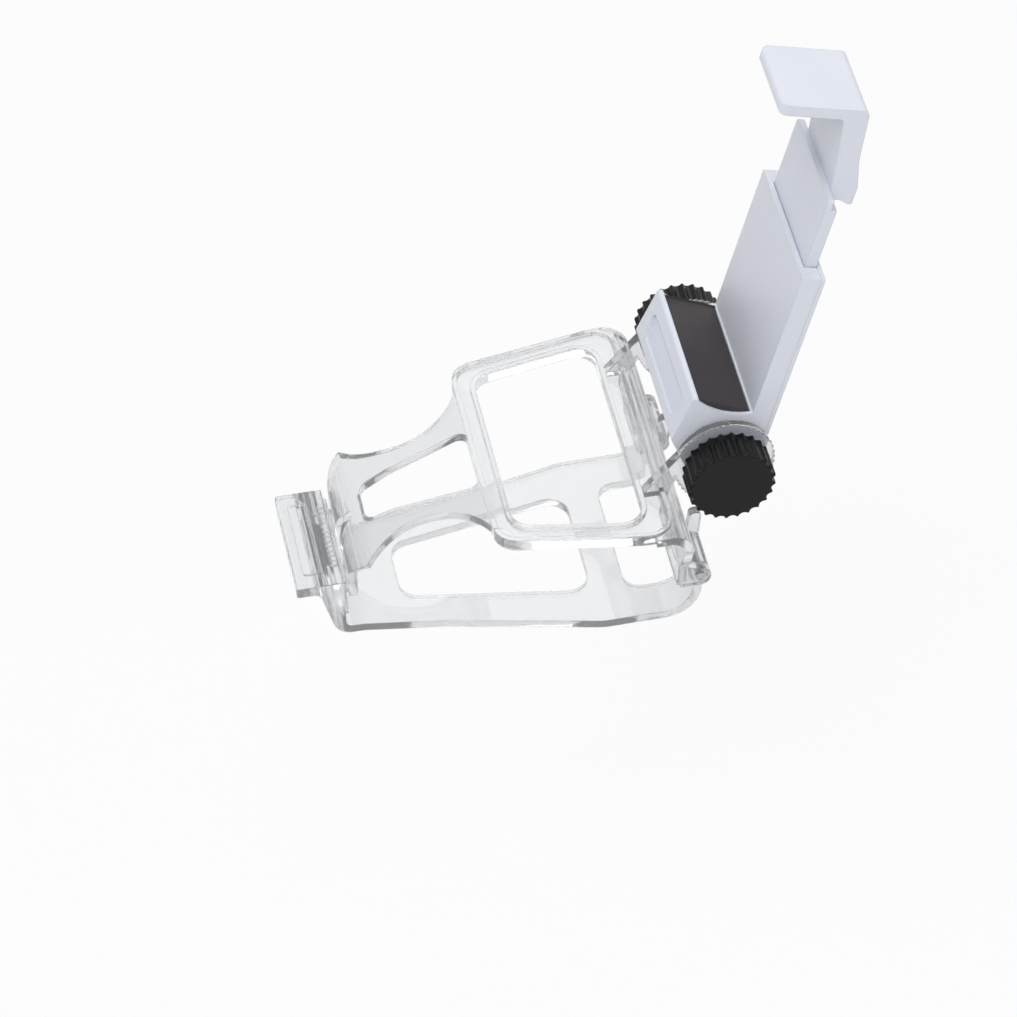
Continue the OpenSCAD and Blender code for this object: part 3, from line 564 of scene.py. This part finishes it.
@dataclass
class TiltKnob:
    """Fluted side knob with its nut and washer. Sizes in millimetres."""

    side: Side
    tilt_y: float = 53.9
    tilt_z: float = 8.9
    inner_x: float = 22.1
    outer_x: float = 29.5
    knob_r: float = 10.3
    flutes: int = 24
    flute_r: float = 1.2
    flute_depth: float = 0.7
    ridge_blend: float = 0.12
    washer_r: float = 4.7
    washer_t: float = 0.8
    nut_half: float = 3.5
    nut_t: float = 3.2
    bore_r: float = 2.05
    bore_end: float = 27.5
    rim: float = 0.45
    rim_points: int = 6
    face_inset: float = 1.2
    face_rings: tuple[float, float] = (0.4, 5.0)
    wall_rings: int = 5
    wall_inset: float = 0.6
    pocket_edge: float = 0.1
    bore_middle_r: float = 0.3
    steps_per_flute: int = 16

    def build(self, nodes: dict[str, bpy.types.Object], finishes: Finishes) -> bpy.types.Object:
        """Dress the nut and washer, and make the grip.

        Args:
            nodes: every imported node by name.
            finishes: the clip's finishes.

        Returns:
            The grip.
        """
        word = self.side.word
        finishes.dress(nodes, KNOB, f"knob_{word}")
        finishes.dress(nodes, BRASS, f"knob_nut_{word}")
        finishes.dress(nodes, STEEL, f"washer_{word}")
        return self.make_grip(finishes.of(KNOB))

    def outline(self, turn: np.ndarray, inset: float) -> np.ndarray:
        """Radius of the fluted outline at each angle.

        A flute is a circle of radius f about the distance c = knob_r - depth + f, so its wall lies at
        c cos t - sqrt(f^2 - c^2 sin^2 t), with t from the flute's middle. Where that meets the
        ridge, the two blend: -k log(exp(-a / k) + exp(-b / k)).

        Args:
            turn: angles round the knob.
            inset: how far the outline is drawn in.

        Returns:
            The radii.
        """
        pitch = 2 * math.pi / self.flutes
        t = (turn + pitch / 2) % pitch - pitch / 2
        centre = self.knob_r - self.flute_depth + self.flute_r
        under = (self.flute_r + inset) ** 2 - (centre * np.sin(t)) ** 2
        wall = np.where(under > 0, centre * np.cos(t) - np.sqrt(np.maximum(under, 0)), self.knob_r + 1)
        ridge = self.knob_r - inset
        k = self.ridge_blend
        return -k * np.log(np.exp((ridge - wall) / k) + 1) + ridge

    def make_grip(self, finish: bpy.types.Material) -> bpy.types.Object:
        """Make the grip as one closed skin of rings about the knob's axis.

        The rings run from the middle of the outer face over a rounded rim, along the flutes, across
        the inner face and down the pockets of the washer and the nut to the end of the bore:
        point(u, v) = (x(u), r(u, v) cos v, r(u, v) sin v). The nut's pocket has r = a / cos t, with t
        from the middle of each of its six sides.

        Args:
            finish: black knob plastic.

        Returns:
            The grip, riding on its knob's body.
        """
        count = self.flutes * self.steps_per_flute
        turn = np.arange(count) * (2 * math.pi / count)
        plain = np.ones(count)
        arc = np.linspace(0, math.pi / 2, self.rim_points)
        sixth = math.pi / 3
        hexagon = self.nut_half / np.cos((turn + sixth / 2) % sixth - sixth / 2)
        seat_x = self.inner_x + self.washer_t
        nut_end = seat_x + self.nut_t
        wall = np.linspace(self.outer_x - self.face_inset, self.inner_x + self.wall_inset, self.wall_rings)
        rows = [(self.outer_x, plain * r) for r in self.face_rings]
        face_insets = (self.face_inset, self.rim + self.pocket_edge)
        rows += [(self.outer_x, self.outline(turn, inset)) for inset in face_insets]
        along, drawn = self.rim * (1 - np.cos(arc)), self.rim * (1 - np.sin(arc))
        rows += [(self.outer_x - back, self.outline(turn, inset)) for back, inset in zip(along, drawn)]
        rows += [(x, self.outline(turn, 0.0)) for x in wall]
        rows += [(self.inner_x + back, self.outline(turn, inset)) for back, inset in zip(drawn, along)]
        rows += [(self.inner_x, self.outline(turn, self.face_inset)),
                 (self.inner_x, plain * (self.washer_r + self.pocket_edge)),
                 (self.inner_x + self.pocket_edge, plain * self.washer_r),
                 (seat_x, plain * self.washer_r), (seat_x, hexagon),
                 (nut_end, hexagon), (nut_end, plain * self.bore_r),
                 (self.bore_end, plain * self.bore_r), (self.bore_end, plain * self.bore_middle_r)]
        x = np.stack([plain * place for place, _ in rows]) * self.side.value
        r = np.stack([radii for _, radii in rows])
        rings = np.stack([x, r * np.cos(turn) + self.tilt_y, r * np.sin(turn) + self.tilt_z], -1) * MM
        grip = closed_ring_piece(f"knob_{self.side.word}_grip", rings, finish)
        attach(grip, self.body.value)
        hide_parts(f"knob_{self.side.word}")
        return grip

    @property
    def body(self) -> Body:
        """The moving body of this knob."""
        return Body.RIGHT_KNOB if self.side is Side.RIGHT else Body.LEFT_KNOB


@dataclass
class SlidingJaw:
    """Slider, hooked top jaw and its pad. Sizes in millimetres."""

    holder: Holder
    pad_under: float = 92.4
    pad_t: float = 1.2
    half_x: float = 9.0
    front: float = -9.8
    rear: float = 1.4
    corner_r: float = 0.8
    edge: float = 0.3
    corner_points: int = 10
    edge_points: int = 6

    def build(self, nodes: dict[str, bpy.types.Object], finishes: Finishes) -> bpy.types.Object:
        """Dress the slider, jaw, screws and spring, and make the pad.

        Args:
            nodes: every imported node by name.
            finishes: the clip's finishes.

        Returns:
            The pad.
        """
        finishes.dress(nodes, SHELL, "slider", "upper_jaw")
        finishes.dress(nodes, STEEL, "jaw_screws", "leaf_spring")
        finishes.dress(nodes, RUBBER, "upper_pad")
        return self.make_pad(finishes.of(RUBBER))

    def make_pad(self, finish: bpy.types.Material) -> bpy.types.Object:
        """Make the upper pad, a stack of rounded rectangles that draw in at both faces.

        At height h over a face, less than the edge's radius e, a rectangle is drawn in by
        e (1 - sin a), with h = e (1 - cos a).

        Args:
            finish: rubber.

        Returns:
            The pad, riding on the jaw.
        """
        a = np.linspace(0, math.pi / 2, self.edge_points)
        draw_in = np.concatenate([self.edge * (1 - np.sin(a)), self.edge * (1 - np.sin(a[::-1]))])
        z = np.concatenate([self.pad_under + self.edge * (1 - np.cos(a)),
                            self.pad_under + self.pad_t - self.edge * (1 - np.cos(a[::-1]))])
        half_y = (self.rear - self.front) / 2
        x, y = rounded_ring(self.half_x, half_y, self.corner_r, self.corner_points)
        local = np.stack([x[None, :] * (1 - draw_in[:, None] / self.half_x),
                          (self.front + self.rear) / 2 + y[None, :] * (1 - draw_in[:, None] / half_y),
                          np.broadcast_to(z[:, None], (len(z), len(x)))], -1)
        pad = closed_ring_piece("upper_pad_strip", self.holder.placed(local), finish)
        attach(pad, Body.JAW.value)
        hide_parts("upper_pad")
        return pad


@dataclass(frozen=True)
class Lamp:
    """A soft square lamp: its name, place in metres, power in watts and side in metres."""

    name: str
    place: tuple[float, float, float]
    watts: float
    side: float


KEY_LAMP = Lamp("key_lamp", (0.45, -0.3, 1.0), 3.4, 0.7)
TOP_LAMP = Lamp("top_lamp", (0.0, -0.05, 1.2), 3.4, 0.9)
FILL_LAMP = Lamp("fill_lamp", (0.95, 0.3, 0.45), 1.4, 0.8)
BACK_LAMP = Lamp("back_lamp", (-0.8, 0.4, 0.6), 1.2, 0.6)


@dataclass
class Studio:
    """Pale floor, soft lamps and the camera. Lengths in metres, but for the sensor's width.

    The camera's place and turn were fitted to the photograph. Horizon is the strength of the
    backdrop at the horizon, and above the sine white_from it is white.
    """

    focal_px: float = 5200.0
    frame_px: float = 1017.0
    sensor_mm: float = 36.0
    eye: tuple[float, float, float] = (0.85249, -0.14388, 0.84431)
    aim: tuple[float, float, float] = (0.01654, 0.00407, 0.0)
    roll_deg: float = -1.781
    nearest: float = 0.01
    lamp_aim: tuple[float, float, float] = (0.0, 0.02, 0.02)
    floor_half: float = 20.0
    floor_gap: float = 0.0002
    floor_white: float = 0.84
    floor_colour: tuple[float, float, float, float] = (0.92, 0.92, 0.92, 1.0)
    floor_rough: float = 0.9
    sky_colour: tuple[float, float, float, float] = (0.95, 0.97, 1.0, 1.0)
    sky_strength: float = 0.5
    horizon: float = 0.5
    white_from: float = 0.5

    def make_floor(self, lowest: float) -> None:
        """Lay the floor just below the lowest point that the object reaches.

        Args:
            lowest: height of that point, in metres.
        """
        corners = np.array([(-1, -1, 0), (1, -1, 0), (1, 1, 0), (-1, 1, 0)]) * self.floor_half
        points = corners + (0, 0, lowest - self.floor_gap)
        floor = make_piece("studio_floor", points, [[0, 1, 2, 3]], self.floor_finish())
        floor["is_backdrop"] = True

    def floor_finish(self) -> bpy.types.Material:
        """White floor that keeps the shadow: part diffuse, part a white that cameras, gloss and glass see.

        Returns:
            The floor's material.
        """
        mat = bpy.data.materials.new("studio_white")
        mat.use_nodes = True
        nodes, links = mat.node_tree.nodes, mat.node_tree.links
        shader = nodes["Principled BSDF"]
        shader.inputs["Base Color"].default_value = self.floor_colour
        shader.inputs["Roughness"].default_value = self.floor_rough
        white = nodes.new("ShaderNodeEmission")
        share = nodes.new("ShaderNodeMath")
        share.operation = "MULTIPLY"
        share.inputs[1].default_value = self.floor_white
        mix = nodes.new("ShaderNodeMixShader")
        links.new(seen_ray(nodes, links), share.inputs[0])
        links.new(share.outputs[0], mix.inputs["Fac"])
        links.new(shader.outputs["BSDF"], mix.inputs[1])
        links.new(white.outputs["Emission"], mix.inputs[2])
        links.new(mix.outputs["Shader"], nodes["Material Output"].inputs["Surface"])
        return mat

    def make_world(self) -> None:
        """Backdrop: pale grey at the horizon and white above it where it is seen, softer where it lights."""
        world = bpy.data.worlds.new("studio_world")
        bpy.context.scene.world = world
        world.use_nodes = True
        nodes, links = world.node_tree.nodes, world.node_tree.links
        light = nodes["Background"]
        light.inputs["Color"].default_value = self.sky_colour
        light.inputs["Strength"].default_value = self.sky_strength
        seen = nodes.new("ShaderNodeBackground")
        coords = nodes.new("ShaderNodeTexCoord")
        height = nodes.new("ShaderNodeSeparateXYZ")
        rise = nodes.new("ShaderNodeMapRange")
        rise.inputs["From Max"].default_value = self.white_from
        rise.inputs["To Min"].default_value = self.horizon
        links.new(coords.outputs["Generated"], height.inputs["Vector"])
        links.new(height.outputs["Z"], rise.inputs["Value"])
        links.new(rise.outputs["Result"], seen.inputs["Color"])
        mix = nodes.new("ShaderNodeMixShader")
        links.new(seen_ray(nodes, links), mix.inputs["Fac"])
        links.new(light.outputs["Background"], mix.inputs[1])
        links.new(seen.outputs["Background"], mix.inputs[2])
        links.new(mix.outputs["Shader"], nodes["World Output"].inputs["Surface"])

    def make_lamps(self) -> None:
        """Set four soft lamps round the object, aimed at its middle."""
        for lamp in (KEY_LAMP, TOP_LAMP, FILL_LAMP, BACK_LAMP):
            data = bpy.data.lights.new(lamp.name, "AREA")
            data.energy = lamp.watts
            data.size = lamp.side
            obj = bpy.data.objects.new(lamp.name, data)
            obj.location = lamp.place
            towards = Vector(self.lamp_aim) - Vector(lamp.place)
            obj.rotation_euler = towards.to_track_quat("-Z", "Y").to_euler()
            bpy.context.scene.collection.objects.link(obj)

    def make_camera(self) -> None:
        """Stand the camera where the photograph was taken from.

        It looks from eye to aim with its right side level, and is then rolled about its own axis.
        """
        data = bpy.data.cameras.new("photo_camera")
        data.sensor_width = self.sensor_mm
        data.lens = self.sensor_mm * self.focal_px / self.frame_px
        data.clip_start = self.nearest
        camera = bpy.data.objects.new("photo_camera", data)
        back = (Vector(self.eye) - Vector(self.aim)).normalized()
        right = Vector((0, 0, 1)).cross(back).normalized()
        level = Matrix((right, back.cross(right), back)).transposed()
        rolled = level @ Matrix.Rotation(math.radians(self.roll_deg), 3, "Z")
        camera.matrix_world = Matrix.Translation(self.eye) @ rolled.to_4x4()
        bpy.context.scene.collection.objects.link(camera)
        bpy.context.scene.camera = camera

    def build(self, lowest: float) -> None:
        """Make the whole studio.

        Args:
            lowest: height of the lowest point that the object reaches, in metres.
        """
        bpy.context.scene.view_settings.view_transform = "Standard"
        self.make_world()
        self.make_lamps()
        self.make_floor(lowest)
        self.make_camera()


def seen_ray(nodes: bpy.types.Nodes, links: bpy.types.NodeLinks) -> bpy.types.NodeSocket:
    """Tell the rays that show a white backdrop: camera, gloss and glass.

    Args:
        nodes: nodes of the material or world.
        links: its links.

    Returns:
        A socket that is 1 for those rays and 0 for the rest.
    """
    path = nodes.new("ShaderNodeLightPath")
    first = nodes.new("ShaderNodeMath")
    first.operation = "MAXIMUM"
    both = nodes.new("ShaderNodeMath")
    both.operation = "MAXIMUM"
    links.new(path.outputs["Is Camera Ray"], first.inputs[0])
    links.new(path.outputs["Is Glossy Ray"], first.inputs[1])
    links.new(first.outputs[0], both.inputs[0])
    links.new(path.outputs["Is Transmission Ray"], both.inputs[1])
    return both.outputs[0]


def main() -> None:
    """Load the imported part, dress it and set the studio."""
    logging.basicConfig(level=logging.INFO, format="%(message)s")
    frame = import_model()
    cad_box = [list(corner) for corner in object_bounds()]
    finishes = Finishes()
    nodes = frame["nodes"]
    clip = ClearClip()
    clip.build(nodes, finishes)
    Studio().build(min(cad_box[0][2], clip.lowest_when_open(nodes["bottom_cradle"])))
    holder = Holder()
    pieces = [holder.build(nodes, finishes), SlidingJaw(holder).build(nodes, finishes)]
    pieces += [TiltKnob(side).build(nodes, finishes) for side in Side]
    for piece in pieces:
        LOG.info("made %s with %d faces", piece.name, len(piece.data.polygons))


if __name__ == "__main__":
    main()
